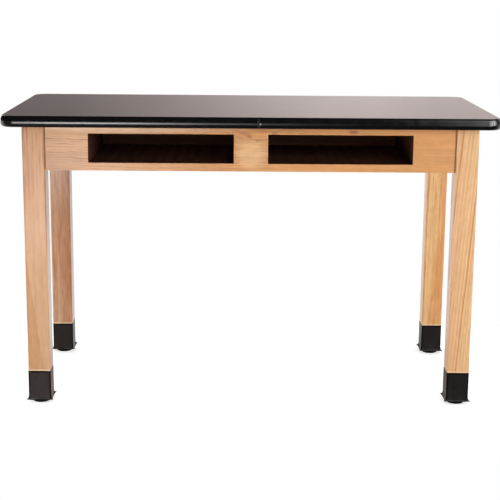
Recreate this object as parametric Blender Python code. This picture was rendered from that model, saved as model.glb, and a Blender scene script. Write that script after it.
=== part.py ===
"""Science lab table: black laminate top with a bullnose edge band, four wooden legs in plastic boots with
levelling feet, aprons on steel corner braces, and two book compartments behind the front apron.

Metres, +Z up. The origin is on the floor under the middle of the top, and the front faces -Y.
"""

from math import atan2, cos, pi, radians, sin, sqrt

import bmesh
import bpy
from mathutils import Vector

# Fits
CLEARANCE = 0.0003
THREAD_CLEARANCE = 0.0003

# Whole table
TOP_LENGTH = 1.260
TOP_DEPTH = 0.6096
TABLE_HEIGHT = 0.762

# Top: laminate, core and backing sheet, with a slot for the band's tongue
LAMINATE_THICKNESS = 0.0012
CORE_THICKNESS = 0.0259
BACKER_THICKNESS = 0.0009
TOP_CORNER_RADIUS = 0.0300
TOP_CORNER_STEPS = 9
BAND_BULGE = 0.0080
BAND_LIP = 0.0012
BAND_STEPS = 10
BAND_JOINT_X = 0.0180
BAND_JOINT_GAP = 0.0008
TONGUE_THICKNESS = 0.0024
TONGUE_DEPTH = 0.0090
SLOT_DEPTH = 0.0100

# Frame
LEG_INSET_X = 0.0513
LEG_INSET_Y = 0.0439
LEG_SIZE = 0.05715
LEG_END_SIZE = 0.0554
LEG_EDGE_RADIUS = 0.0025
LEG_EDGE_STEPS = 3
LEG_RING_FROM_BOLT = 0.0060
APRON_HEIGHT = 0.1134
APRON_THICKNESS = 0.019
APRON_SETBACK = 0.003
EASED_EDGE = 0.0008

# Wood left round the two openings of the front apron, and the book compartments behind them
OPENING_TOP_RAIL = 0.0191
OPENING_BOTTOM_RAIL = 0.0201
END_STILE = 0.1093
CENTRE_STILE = 0.087
COMPARTMENT_DEPTH = 0.350
PANEL_THICKNESS = 0.009

# Wooden cleats under the top
CLEAT_SIZE = 0.020
CLEAT_END_SPACE = 0.024

# Corner braces and their bolts
BRACE_THICKNESS = 0.0020
BRACE_HEIGHT = 0.060
BRACE_DROP = 0.0211
BRACE_SPACE = 0.0072
BRACE_TAB = 0.018
KERF_WIDTH = 0.0026
KERF_DEPTH = 0.0070
BOLT_RADIUS = 0.0040
BOLT_IN_LEG = 0.034
BOLT_PAST_NUT = 0.006
BOLT_STEPS = 12
NUT_FLAT_HALF = 0.0064
NUT_FLANGE_RADIUS = 0.0090
NUT_FLANGE_THICKNESS = 0.0018
NUT_THICKNESS = 0.0080

# Levelling feet: pad, swivelling stem and threaded insert
PAD_RADIUS = 0.0222
PAD_RIM_HEIGHT = 0.0066
PAD_EDGE_RADIUS = 0.0020
PAD_HUB_RADIUS = 0.0105
PAD_HUB_HEIGHT = 0.0090
PAD_STEPS = 32
POCKET_RADIUS = 0.0076
POCKET_DEPTH = 0.0046
STEM_RADIUS = 0.00475
STEM_LENGTH = 0.0580
STEM_STEPS = 18
BORE_PAST_END = 0.0015
STEM_HEAD_RADIUS = 0.0070
STEM_HEAD_THICKNESS = 0.0026
COLLAR_FLAT_HALF = 0.0071
COLLAR_THICKNESS = 0.0045
INSERT_FLANGE_RADIUS = 0.0120
INSERT_FLANGE_THICKNESS = 0.0015
INSERT_BARREL_RADIUS = 0.0063
INSERT_LENGTH = 0.0140

# Leg boots
BOOT_TOP = 0.0883
BOOT_WALL = 0.0015
BOOT_RIM_EDGE = 0.0004
BOOT_FLOOR_THICKNESS = 0.0030
BOOT_HEM_BOTTOM = 0.0087
BOOT_HEM_THICKNESS = 0.0018
BOOT_HEM_EDGE = 0.0005
BOOT_LEDGE = 0.0012
BOOT_EAR = 0.0040
BOOT_EAR_RADIUS = 0.0014
BOOT_EAR_LIFT = 0.0030
BOOT_EAR_POWER = 2.4
BOOT_FLARE_HEIGHT = 0.0120
BOOT_FLARE_STEPS = 5
BOOT_SKIRT_WALL = 0.0030
BOOT_SIDE_STEPS = 6

# Heights that follow from the sizes above
CORE_TOP = TABLE_HEIGHT - LAMINATE_THICKNESS - CLEARANCE
CORE_BOTTOM = CORE_TOP - CORE_THICKNESS
TOP_UNDERSIDE = CORE_BOTTOM - CLEARANCE - BACKER_THICKNESS
BAND_HEIGHT = TABLE_HEIGHT - TOP_UNDERSIDE
FRAME_TOP = TOP_UNDERSIDE - CLEARANCE
APRON_BOTTOM = FRAME_TOP - APRON_HEIGHT
CLEAT_HEIGHTS = (FRAME_TOP - CLEAT_SIZE, FRAME_TOP)
OPENING_TOP = FRAME_TOP - OPENING_TOP_RAIL
OPENING_BOTTOM = APRON_BOTTOM + OPENING_BOTTOM_RAIL
OPENING_HEIGHT = OPENING_TOP - OPENING_BOTTOM
STEM_BOTTOM = POCKET_DEPTH - CLEARANCE - STEM_HEAD_THICKNESS
STEM_TOP = STEM_BOTTOM + STEM_LENGTH
COLLAR_BOTTOM = PAD_HUB_HEIGHT + CLEARANCE
BOOT_FLOOR_BOTTOM = COLLAR_BOTTOM + COLLAR_THICKNESS + CLEARANCE
BOOT_FLOOR_TOP = BOOT_FLOOR_BOTTOM + BOOT_FLOOR_THICKNESS
INSERT_BOTTOM = BOOT_FLOOR_TOP + CLEARANCE
LEG_BOTTOM = INSERT_BOTTOM + INSERT_FLANGE_THICKNESS + CLEARANCE
BOLT_HEIGHT = FRAME_TOP - BRACE_DROP - BRACE_HEIGHT / 2

# Places that follow from the sizes above
LEG_X = TOP_LENGTH / 2 - LEG_INSET_X - LEG_SIZE / 2
LEG_Y = TOP_DEPTH / 2 - LEG_INSET_Y - LEG_SIZE / 2
APRON_X = LEG_X + LEG_SIZE / 2 - APRON_SETBACK - APRON_THICKNESS / 2
APRON_Y = LEG_Y + LEG_SIZE / 2 - APRON_SETBACK - APRON_THICKNESS / 2
APRON_LENGTH_X = 2 * (LEG_X - LEG_SIZE / 2 - CLEARANCE)
APRON_LENGTH_Y = 2 * (LEG_Y - LEG_SIZE / 2 - CLEARANCE)
OPENING_WIDTH = (APRON_LENGTH_X - CENTRE_STILE) / 2 - END_STILE
OPENING_X = (CENTRE_STILE + OPENING_WIDTH) / 2
CORNERS = (("front_left", -1, -1), ("front_right", 1, -1), ("rear_left", -1, 1), ("rear_right", 1, 1))


def clear_scene():
    for old in list(bpy.data.objects):
        bpy.data.objects.remove(old, do_unlink=True)


def make_material(name, colour, roughness, metallic=0.0):
    material = bpy.data.materials.new(name)
    material.use_nodes = True
    shader = material.node_tree.nodes["Principled BSDF"]
    shader.inputs["Base Color"].default_value = (*colour, 1.0)
    shader.inputs["Roughness"].default_value = roughness
    shader.inputs["Metallic"].default_value = metallic
    material.diffuse_color = (*colour, 1.0)
    return material


def make_materials():
    return {
        "laminate": make_material("black_laminate", (0.022, 0.021, 0.020), 0.32),
        "band": make_material("black_edge_band", (0.010, 0.010, 0.010), 0.22),
        "board": make_material("particle_board", (0.42, 0.30, 0.18), 0.85),
        "backer": make_material("backing_sheet", (0.10, 0.07, 0.05), 0.6),
        "wood": make_material("ash_wood", (0.66, 0.42, 0.23), 0.45),
        "panel": make_material("dark_hardboard", (0.030, 0.018, 0.012), 0.45),
        "boot": make_material("boot_plastic", (0.022, 0.021, 0.021), 0.42),
        "foot": make_material("foot_plastic", (0.012, 0.012, 0.012), 0.5),
        "steel": make_material("zinc_plated_steel", (0.62, 0.62, 0.60), 0.35, 1.0),
    }


def add_object(name, builder, material, smooth_angle=None):
    """A mesh object made from the bmesh, with its faces pointing out."""
    bmesh.ops.recalc_face_normals(builder, faces=builder.faces)
    mesh = bpy.data.meshes.new(name)
    builder.to_mesh(mesh)
    builder.free()
    if smooth_angle:
        mesh.shade_smooth()
        mesh.set_sharp_from_angle(angle=smooth_angle)
    made = bpy.data.objects.new(name, mesh)
    bpy.context.scene.collection.objects.link(made)
    if material:
        mesh.materials.append(material)
    return made


def add_at_legs(prefix, builder, material):
    """One object under each leg, all with the same mesh."""
    first = add_object(prefix + CORNERS[0][0], builder, material, radians(35))
    for corner, sx, sy in CORNERS:
        piece = first
        if prefix + corner != first.name:
            piece = bpy.data.objects.new(prefix + corner, first.data)
            bpy.context.scene.collection.objects.link(piece)
        piece.location = (sx * LEG_X, sy * LEG_Y, 0)


def hide_cutter(cutter):
    cutter.hide_render = True
    cutter.display_type = "WIRE"
    return cutter


def cut(piece, cutter):
    boolean = piece.modifiers.new("Cut", "BOOLEAN")
    boolean.operation = "DIFFERENCE"
    boolean.object = cutter


def ease_edges(piece, width=EASED_EDGE):
    bevel = piece.modifiers.new("Eased edges", "BEVEL")
    bevel.width = width
    bevel.segments = 2
    bevel.limit_method = "ANGLE"
    bevel.angle_limit = radians(40)


def bridge(builder, lower, upper):
    count = len(lower)
    for i in range(count):
        j = (i + 1) % count
        builder.faces.new((lower[i], lower[j], upper[j], upper[i]))


def loft(rings, closed):
    """Rings of points joined in turn. A closed loft joins its last ring to its first, and an open one is capped."""
    builder = bmesh.new()
    loops = [[builder.verts.new(point) for point in ring] for ring in rings]
    for lower, upper in zip(loops, loops[1:]):
        bridge(builder, lower, upper)
    if closed:
        bridge(builder, loops[-1], loops[0])
    else:
        builder.faces.new(loops[0])
        builder.faces.new(loops[-1])
    return builder


def circle(radius, height, steps):
    angles = [2 * pi * i / steps for i in range(steps)]
    return [Vector((radius * cos(angle), radius * sin(angle), height)) for angle in angles]


def hexagon(flat_half, height, steps):
    """A hexagon with as many points as a circle ring, so that the two can be lofted."""
    ring = []
    for i in range(steps):
        angle = 2 * pi * i / steps
        from_flat = (angle + pi / 6) % (pi / 3) - pi / 6
        radius = flat_half / cos(from_flat)
        ring.append(Vector((radius * cos(angle), radius * sin(angle), height)))
    return ring


def rounded_path(length, depth, radius, steps):
    """Points round a rectangle with round corners, each with its outward direction. The front left is first."""
    path = []
    for turn, (sx, sy) in enumerate(((-1, -1), (1, -1), (1, 1), (-1, 1))):
        centre = Vector((sx * (length / 2 - radius), sy * (depth / 2 - radius), 0))
        for i in range(steps + 1):
            angle = -pi + turn * pi / 2 + i * pi / 2 / steps
            outward = Vector((cos(angle), sin(angle), 0))
            path.append((centre + outward * radius, outward))
    return path


def ring_on_path(path, outset, height):
    return [point + outward * outset + Vector((0, 0, height)) for point, outward in path]


def box(size):
    builder = bmesh.new()
    bmesh.ops.create_cube(builder, size=1)
    bmesh.ops.scale(builder, vec=size, verts=builder.verts)
    return builder


def extrude_outline(outline, height):
    """A flat outline drawn up by height, from z = 0."""
    return loft([[Vector((x, y, z)) for x, y in outline] for z in (0, height)], closed=False)


# Top

def core_path():
    inset = BAND_BULGE + CLEARANCE
    return rounded_path(TOP_LENGTH - 2 * inset, TOP_DEPTH - 2 * inset, TOP_CORNER_RADIUS, TOP_CORNER_STEPS)


def make_core(material):
    path = core_path()
    middle = (CORE_TOP + CORE_BOTTOM) / 2
    half_slot = TONGUE_THICKNESS / 2 + CLEARANCE
    levels = (
        (0, CORE_BOTTOM),
        (0, middle - half_slot),
        (-SLOT_DEPTH, middle - half_slot),
        (-SLOT_DEPTH, middle + half_slot),
        (0, middle + half_slot),
        (0, CORE_TOP),
    )
    rings = [ring_on_path(path, outset, height) for outset, height in levels]
    return add_object("top_core", loft(rings, closed=False), material)


def make_sheet(name, bottom, thickness, material):
    path = core_path()
    rings = [ring_on_path(path, 0, height) for height in (bottom, bottom + thickness)]
    return add_object(name, loft(rings, closed=False), material)


def band_profile():
    """Distance out from the core's edge and height of each point of the band's section."""
    middle = (CORE_TOP + CORE_BOTTOM) / 2
    centre = (TABLE_HEIGHT + TOP_UNDERSIDE) / 2
    half_height = BAND_HEIGHT / 2
    half_tongue = TONGUE_THICKNESS / 2
    bulge = BAND_BULGE - BAND_LIP
    nose = []
    for i in range(BAND_STEPS + 1):
        angle = pi / 2 - pi * i / BAND_STEPS
        nose.append((CLEARANCE + BAND_LIP + bulge * cos(angle), centre + half_height * sin(angle)))
    tongue = [
        (CLEARANCE, TOP_UNDERSIDE),
        (CLEARANCE, middle - half_tongue),
        (-TONGUE_DEPTH, middle - half_tongue),
        (-TONGUE_DEPTH, middle + half_tongue),
        (CLEARANCE, middle + half_tongue),
        (CLEARANCE, TABLE_HEIGHT),
    ]
    return nose + tongue


def make_band(material):
    """The bullnose band runs once round the top, from one side of its joint to the other."""
    path = core_path()
    corner = TOP_CORNER_STEPS + 1
    front_y = path[corner][0].y
    start = (Vector((BAND_JOINT_X + BAND_JOINT_GAP / 2, front_y, 0)), path[corner][1])
    end = (Vector((BAND_JOINT_X - BAND_JOINT_GAP / 2, front_y, 0)), path[corner][1])
    stations = [start] + path[corner:] + path[:corner] + [end]
    profile = band_profile()
    rings = []
    for point, outward in stations:
        rings.append([point + outward * out + Vector((0, 0, height)) for out, height in profile])
    return add_object("edge_band", loft(rings, closed=False), material, radians(32))


def make_top(materials):
    make_core(materials["board"])
    make_sheet("top_laminate", TABLE_HEIGHT - LAMINATE_THICKNESS, LAMINATE_THICKNESS, materials["laminate"])
    make_sheet("top_backer", TOP_UNDERSIDE, BACKER_THICKNESS, materials["backer"])
    make_band(materials["band"])


# Legs and aprons

def square_ring(half, radius, height, corner_steps, side_steps=1):
    """A square with round corners. Its sides have extra points where something bends them."""
    ring = []
    corners = ((-1, -1), (1, -1), (1, 1), (-1, 1))
    for turn, (sx, sy) in enumerate(corners):
        centre = Vector((sx * (half - radius), sy * (half - radius), height))
        arc = []
        for i in range(corner_steps + 1):
            angle = -pi + turn * pi / 2 + i * pi / 2 / corner_steps
            arc.append(centre + Vector((cos(angle), sin(angle), 0)) * radius)
        ring += arc
        along = Vector((cos(turn * pi / 2), sin(turn * pi / 2), 0)) * 2 * (half - radius)
        for i in range(1, side_steps):
            ring.append(arc[-1] + along * i / side_steps)
    return ring


def make_leg(name, sx, sy, material):
    """One leg, cut back a little inside its boot, with bores for its foot's stem and for its hanger bolt."""
    half = LEG_SIZE / 2
    end = LEG_END_SIZE / 2
    shoulder = BOOT_TOP + CLEARANCE
    levels = (
        (end - EASED_EDGE, LEG_BOTTOM),
        (end, LEG_BOTTOM + EASED_EDGE),
        (end, shoulder),
        (half, shoulder),
        (half, BOLT_HEIGHT - LEG_RING_FROM_BOLT),
        (half, BOLT_HEIGHT + LEG_RING_FROM_BOLT),
        (half, FRAME_TOP - EASED_EDGE),
        (half - EASED_EDGE, FRAME_TOP),
    )
    rings = [square_ring(size, LEG_EDGE_RADIUS, height, LEG_EDGE_STEPS) for size, height in levels]
    leg = add_object(name, loft(rings, closed=False), material, radians(40))
    leg.location = (sx * LEG_X, sy * LEG_Y, 0)
    cut(leg, make_stem_bore(name, sx, sy))
    cut(leg, make_bolt_bore(name, sx, sy))
    return leg


def make_stem_bore(name, sx, sy):
    """The drilled hole over the insert, deep enough for the stem when it is screwed right in."""
    radius = INSERT_BARREL_RADIUS + CLEARANCE
    top = STEM_TOP + BORE_PAST_END
    rings = [circle(radius, height, STEM_STEPS) for height in (LEG_BOTTOM - CLEARANCE, top)]
    bore = hide_cutter(add_object(name + "_stem_bore", loft(rings, closed=False), None))
    bore.location = (sx * LEG_X, sy * LEG_Y, 0)
    return bore


def make_bolt_bore(name, sx, sy):
    radius = BOLT_RADIUS + CLEARANCE
    reach = corner_distance() + CLEARANCE
    start = corner_distance() - BOLT_IN_LEG - CLEARANCE
    rings = [circle(radius, height, BOLT_STEPS) for height in (start, reach + LEG_SIZE)]
    bore = hide_cutter(add_object(name + "_bolt_bore", along_x(loft(rings, closed=False)), None))
    place_on_bolt_line(bore, sx, sy)
    return bore


def along_x(builder):
    """Turns a piece built up +Z so that it lies along +X."""
    for vertex in builder.verts:
        vertex.co = Vector((vertex.co.z, vertex.co.x, vertex.co.y))
    return builder


def corner_distance():
    """From the leg's middle to its inner corner, level."""
    return LEG_SIZE / 2 * sqrt(2) - LEG_EDGE_RADIUS * (sqrt(2) - 1)


def place_on_bolt_line(piece, sx, sy):
    """Points the piece's +X from the leg's middle through its inner corner, level."""
    piece.location = (sx * LEG_X, sy * LEG_Y, BOLT_HEIGHT)
    piece.rotation_euler = (0, 0, atan2(-sy, -sx))


def kerf_place(leg_centre):
    """Distance from the table's middle to the middle of a kerf, along an apron."""
    return leg_centre - brace_end() + BRACE_THICKNESS / 2


def brace_end():
    """From the leg's middle to the far side of a brace, along the apron. It stays clear of the compartment."""
    compartment_wall = PANEL_THICKNESS + CLEAT_SIZE + 2 * CLEARANCE
    return LEG_SIZE / 2 + CLEARANCE + END_STILE - compartment_wall - BRACE_SPACE


def brace_foot():
    """From the leg's middle to where a brace meets the apron, measured along the apron."""
    return brace_end() - BRACE_THICKNESS - BRACE_TAB


def brace_distance():
    """From the leg's middle to the brace, along the bolt."""
    to_apron_face = LEG_SIZE / 2 - APRON_SETBACK - APRON_THICKNESS
    return (brace_foot() - to_apron_face) / sqrt(2)


def apron_outline(length, kerf):
    """Seen from above, with the inner side at +Y: a kerf near each end takes a hooked edge of a brace."""
    half = length / 2
    outer = -APRON_THICKNESS / 2
    inner = APRON_THICKNESS / 2
    outline = [(-half, outer), (half, outer), (half, inner)]
    for middle in (kerf, -kerf):
        for edge, depth in ((1, 0), (1, KERF_DEPTH), (-1, KERF_DEPTH), (-1, 0)):
            outline.append((middle + edge * KERF_WIDTH / 2, inner - depth))
    outline.append((-half, inner))
    return outline


def make_apron(name, length, kerf, place, turn, material):
    apron = add_object(name, extrude_outline(apron_outline(length, kerf), APRON_HEIGHT), material)
    apron.location = (place[0], place[1], APRON_BOTTOM)
    apron.rotation_euler = (0, 0, turn)
    return apron


def cut_opening(apron, name, middle):
    size = (OPENING_WIDTH, APRON_THICKNESS * 2, OPENING_HEIGHT)
    cutter = hide_cutter(add_object(name, box(size), None))
    cutter.location = (middle, -APRON_Y, (OPENING_TOP + OPENING_BOTTOM) / 2)
    cut(apron, cutter)


def make_frame(materials):
    wood = materials["wood"]
    for corner, sx, sy in CORNERS:
        make_leg("leg_" + corner, sx, sy, wood)
    kerf_x = kerf_place(LEG_X)
    kerf_y = kerf_place(LEG_Y)
    front = make_apron("front_apron", APRON_LENGTH_X, kerf_x, (0, -APRON_Y), 0, wood)
    cut_opening(front, "left_opening_cutter", -OPENING_X)
    cut_opening(front, "right_opening_cutter", OPENING_X)
    ease_edges(front)
    ease_edges(make_apron("rear_apron", APRON_LENGTH_X, kerf_x, (0, APRON_Y), pi, wood))
    ease_edges(make_apron("left_apron", APRON_LENGTH_Y, kerf_y, (-APRON_X, 0), -pi / 2, wood))
    ease_edges(make_apron("right_apron", APRON_LENGTH_Y, kerf_y, (APRON_X, 0), pi / 2, wood))


# Corner braces

def thick_line(points, thickness):
    """The outline of a strip of even thickness along points, its corners mitred."""
    sides = [[], []]
    for i, point in enumerate(points):
        before = (point - points[i - 1]).normalized() if i else None
        after = (points[i + 1] - point).normalized() if i + 1 < len(points) else None
        first = before or after
        second = after or before
        normal = Vector((-first.y, first.x)) + Vector((-second.y, second.x))
        normal.normalize()
        reach = thickness / 2 / normal.dot(Vector((-first.y, first.x)))
        sides[0].append(point + normal * reach)
        sides[1].append(point - normal * reach)
    return sides[0] + sides[1][::-1]


def brace_line():
    """The middle of the brace's sheet seen from above: hook, tab, slanting face, tab, hook.

    The leg's middle is the origin, and the middle of the table lies to its +X and +Y.
    """
    face = LEG_SIZE / 2 - APRON_SETBACK - APRON_THICKNESS
    wall = -face + CLEARANCE + BRACE_THICKNESS / 2
    hook = brace_end() - BRACE_THICKNESS / 2
    hook_end = -face - KERF_DEPTH + CLEARANCE
    tab_start = sqrt(2) * (brace_distance() + BRACE_THICKNESS / 2) - wall
    half = [Vector((hook, hook_end)), Vector((hook, wall)), Vector((tab_start, wall))]
    return half + [Vector((point.y, point.x)) for point in reversed(half)]


def make_brace(name, sx, sy, material):
    outline = [(-sx * point.x, -sy * point.y) for point in thick_line(brace_line(), BRACE_THICKNESS)]
    brace = add_object(name, extrude_outline(outline, BRACE_HEIGHT), material)
    brace.location = (sx * LEG_X, sy * LEG_Y, FRAME_TOP - BRACE_DROP - BRACE_HEIGHT)
    rings = [circle(BOLT_RADIUS + CLEARANCE, height, BOLT_STEPS) for height in (0, 2 * LEG_SIZE)]
    hole = hide_cutter(add_object(name + "_hole", along_x(loft(rings, closed=False)), None))
    place_on_bolt_line(hole, sx, sy)
    cut(brace, hole)
    return brace


def make_bolt(name, sx, sy, material):
    """Hanger bolt: its screw end is in the leg, and its machine end takes the nut."""
    start = corner_distance() - BOLT_IN_LEG
    end = nut_start() + NUT_THICKNESS + BOLT_PAST_NUT
    levels = (
        (BOLT_RADIUS / 2, start),
        (BOLT_RADIUS, start + BOLT_RADIUS),
        (BOLT_RADIUS, end - BOLT_RADIUS / 4),
        (BOLT_RADIUS * 3 / 4, end),
    )
    rings = [circle(radius, height, BOLT_STEPS) for radius, height in levels]
    bolt = add_object(name, along_x(loft(rings, closed=False)), material, radians(40))
    place_on_bolt_line(bolt, sx, sy)
    return bolt


def nut_start():
    """Where the nut's flange sits on the brace, from the leg's middle along the bolt."""
    return brace_distance() + BRACE_THICKNESS + CLEARANCE


def make_nut(name, sx, sy, material):
    bore = BOLT_RADIUS + CLEARANCE
    start = nut_start()
    rings = [
        circle(bore, start, BOLT_STEPS),
        circle(NUT_FLANGE_RADIUS, start, BOLT_STEPS),
        circle(NUT_FLANGE_RADIUS, start + NUT_FLANGE_THICKNESS, BOLT_STEPS),
        hexagon(NUT_FLAT_HALF, start + NUT_FLANGE_THICKNESS, BOLT_STEPS),
        hexagon(NUT_FLAT_HALF, start + NUT_THICKNESS, BOLT_STEPS),
        circle(bore, start + NUT_THICKNESS, BOLT_STEPS),
    ]
    nut = add_object(name, along_x(loft(rings, closed=True)), material)
    place_on_bolt_line(nut, sx, sy)
    return nut


def make_corner_fittings(materials):
    for corner, sx, sy in CORNERS:
        make_brace("brace_" + corner, sx, sy, materials["steel"])
        make_bolt("hanger_bolt_" + corner, sx, sy, materials["steel"])
        make_nut("brace_nut_" + corner, sx, sy, materials["steel"])


# Book compartments and cleats

def make_board(name, spans, material):
    """A straight board that fills a span along each of X, Y and Z. A span's ends come in either order."""
    low, high = (Vector([side(span) for span in spans]) for side in (min, max))
    board = add_object(name, box(high - low), material)
    board.location = (low + high) / 2
    ease_edges(board)
    return board


def make_compartment(side, middle, materials):
    """Floor, two sides and back, open to the cut-out in the front apron, and the cleats that hang it."""
    name = "compartment_" + side
    front = -APRON_Y + APRON_THICKNESS / 2 + CLEARANCE
    back = front + COMPARTMENT_DEPTH
    bottom = OPENING_BOTTOM - PANEL_THICKNESS
    half = OPENING_WIDTH / 2
    panel = materials["panel"]
    floor_span = (middle - half, middle + half)
    make_board(name + "_floor", (floor_span, (front, back), (bottom, OPENING_BOTTOM)), panel)
    outer = half + CLEARANCE + PANEL_THICKNESS
    for end, sign in (("left", -1), ("right", 1)):
        side_span = (middle + sign * (half + CLEARANCE), middle + sign * outer)
        make_board(name + "_side_" + end, (side_span, (front, back), (bottom, FRAME_TOP)), panel)
        near = middle + sign * (outer + CLEARANCE)
        cleat_span = (near, near + sign * CLEAT_SIZE)
        cleat_y = (front + CLEAT_END_SPACE, back - CLEAT_END_SPACE)
        make_board(name + "_cleat_" + end, (cleat_span, cleat_y, CLEAT_HEIGHTS), materials["wood"])
    back_y = (back + CLEARANCE, back + CLEARANCE + PANEL_THICKNESS)
    make_board(name + "_back", ((middle - outer, middle + outer), back_y, (bottom, FRAME_TOP)), panel)


def make_compartments(materials):
    make_compartment("left", -OPENING_X, materials)
    make_compartment("right", OPENING_X, materials)


def make_side_cleats(materials):
    """Strips inside the side aprons that the top is screwed to."""
    inner = APRON_X - APRON_THICKNESS / 2 - CLEARANCE
    half = LEG_Y - brace_end() - CLEAT_SIZE
    for side, sx in (("left", -1), ("right", 1)):
        across = (sx * inner, sx * (inner - CLEAT_SIZE))
        make_board("top_cleat_" + side, (across, (-half, half), CLEAT_HEIGHTS), materials["wood"])


# Boots and levelling feet

def pinch(ring, half, ear, lift):
    """Draws the corners of a square ring out into ears, and lifts them, while the middles of its sides stay."""
    made = []
    for point in ring:
        u = min(abs(point.x) / half, 1)
        v = min(abs(point.y) / half, 1)
        x = point.x * (1 + ear / half * v**BOOT_EAR_POWER)
        y = point.y * (1 + ear / half * u**BOOT_EAR_POWER)
        made.append(Vector((x, y, point.z + lift * (u * v) ** BOOT_EAR_POWER)))
    return made


def boot_ring(half, radius, height, ear=0.0, lift=0.0):
    ring = square_ring(half, radius, height, LEG_EDGE_STEPS, BOOT_SIDE_STEPS)
    return pinch(ring, half, ear, lift)


def boot_circle(radius, height):
    """A round hole's ring, with its points in line with those of the square rings."""
    ring = []
    for point in boot_ring(1.0, LEG_EDGE_RADIUS / LEG_SIZE, 0):
        ring.append(Vector((point.x, point.y, 0)).normalized() * radius + Vector((0, 0, height)))
    return ring


def boot_rings():
    """From the rim down the outside, round the hem, up through the stem's hole and up the inside to the rim."""
    inner = LEG_END_SIZE / 2 + CLEARANCE
    outer = inner + BOOT_WALL
    inner_radius = LEG_EDGE_RADIUS + CLEARANCE
    outer_radius = inner_radius + BOOT_WALL
    rings = [
        boot_ring(outer - BOOT_RIM_EDGE, outer_radius, BOOT_TOP),
        boot_ring(outer, outer_radius, BOOT_TOP - BOOT_RIM_EDGE),
    ]
    hem_top = BOOT_HEM_BOTTOM + BOOT_HEM_THICKNESS
    for i in range(BOOT_FLARE_STEPS + 1):
        turn = pi / 2 * i / BOOT_FLARE_STEPS
        share = 1 - cos(turn)
        half = outer + BOOT_LEDGE * share
        radius = outer_radius + (BOOT_EAR_RADIUS - outer_radius) * share
        height = hem_top + BOOT_FLARE_HEIGHT * (1 - sin(turn))
        rings.append(boot_ring(half, radius, height, BOOT_EAR * share, BOOT_EAR_LIFT * share))
    hem = outer + BOOT_LEDGE
    hem_middle = BOOT_HEM_BOTTOM + BOOT_HEM_THICKNESS / 2
    skirt = outer - BOOT_SKIRT_WALL
    hole = STEM_RADIUS + 2 * THREAD_CLEARANCE
    return rings + [
        boot_ring(hem + BOOT_HEM_EDGE, BOOT_EAR_RADIUS, hem_middle, BOOT_EAR, BOOT_EAR_LIFT),
        boot_ring(hem, BOOT_EAR_RADIUS, BOOT_HEM_BOTTOM, BOOT_EAR, BOOT_EAR_LIFT),
        boot_ring(skirt, inner_radius, BOOT_HEM_BOTTOM),
        boot_ring(skirt, inner_radius, BOOT_FLOOR_BOTTOM),
        boot_circle(hole, BOOT_FLOOR_BOTTOM),
        boot_circle(hole, BOOT_FLOOR_TOP),
        boot_ring(inner, inner_radius, BOOT_FLOOR_TOP),
        boot_ring(inner, inner_radius, BOOT_TOP),
    ]


def pad_rings():
    """A turned foot: flat underneath round its pocket, with a round edge, a sloping top and a hub."""
    steps = PAD_STEPS
    neck = STEM_RADIUS + THREAD_CLEARANCE
    rings = [circle(neck, PAD_HUB_HEIGHT, steps), circle(neck, POCKET_DEPTH, steps)]
    rings += [circle(POCKET_RADIUS, POCKET_DEPTH, steps), circle(POCKET_RADIUS, 0, steps)]
    low = PAD_EDGE_RADIUS
    for i in range(3):
        angle = -pi / 2 + pi / 4 * i
        rings.append(circle(PAD_RADIUS - low + low * cos(angle), low + low * sin(angle), steps))
    rings.append(circle(PAD_RADIUS, PAD_RIM_HEIGHT - low / 2, steps))
    rings.append(circle(PAD_RADIUS - low / 2, PAD_RIM_HEIGHT, steps))
    rings.append(circle(PAD_HUB_RADIUS, PAD_HUB_HEIGHT, steps))
    return rings


def stem_rings():
    """Head in the pad's pocket, neck, hexagon collar and threaded shank."""
    steps = STEM_STEPS
    head_top = STEM_BOTTOM + STEM_HEAD_THICKNESS
    collar_top = COLLAR_BOTTOM + COLLAR_THICKNESS
    end = STEM_RADIUS / 4
    return [
        circle(STEM_HEAD_RADIUS, STEM_BOTTOM, steps),
        circle(STEM_HEAD_RADIUS, head_top, steps),
        circle(STEM_RADIUS, head_top, steps),
        circle(STEM_RADIUS, COLLAR_BOTTOM, steps),
        hexagon(COLLAR_FLAT_HALF, COLLAR_BOTTOM, steps),
        hexagon(COLLAR_FLAT_HALF, collar_top, steps),
        circle(STEM_RADIUS, collar_top, steps),
        circle(STEM_RADIUS, STEM_TOP - end, steps),
        circle(STEM_RADIUS - end, STEM_TOP, steps),
    ]


def insert_rings():
    """Threaded barrel with a flange that bears on the end of the leg."""
    steps = STEM_STEPS
    bore = STEM_RADIUS + THREAD_CLEARANCE
    flange_top = INSERT_BOTTOM + INSERT_FLANGE_THICKNESS
    top = INSERT_BOTTOM + INSERT_LENGTH
    return [
        circle(bore, INSERT_BOTTOM, steps),
        circle(INSERT_FLANGE_RADIUS, INSERT_BOTTOM, steps),
        circle(INSERT_FLANGE_RADIUS, flange_top, steps),
        circle(INSERT_BARREL_RADIUS, flange_top, steps),
        circle(INSERT_BARREL_RADIUS, top, steps),
        circle(bore, top, steps),
    ]


def make_boots_and_feet(materials):
    add_at_legs("boot_", loft(boot_rings(), closed=True), materials["boot"])
    add_at_legs("glide_pad_", loft(pad_rings(), closed=True), materials["foot"])
    add_at_legs("glide_stem_", loft(stem_rings(), closed=False), materials["steel"])
    add_at_legs("glide_insert_", loft(insert_rings(), closed=True), materials["steel"])


def main():
    clear_scene()
    materials = make_materials()
    make_top(materials)
    make_frame(materials)
    make_corner_fittings(materials)
    make_compartments(materials)
    make_side_cleats(materials)
    make_boots_and_feet(materials)


main()
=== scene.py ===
"""The science lab table dressed for its portrait.

Lacquered ash, a black laminate top with a moulded edge band, boots, screws and threads, on white paper.
Metres, +Z up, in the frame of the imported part. The front of the table faces -Y.
"""

from math import atan2, cos, pi, radians, sin, sqrt

import bmesh
import bpy
from mathutils import Matrix, Vector


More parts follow.
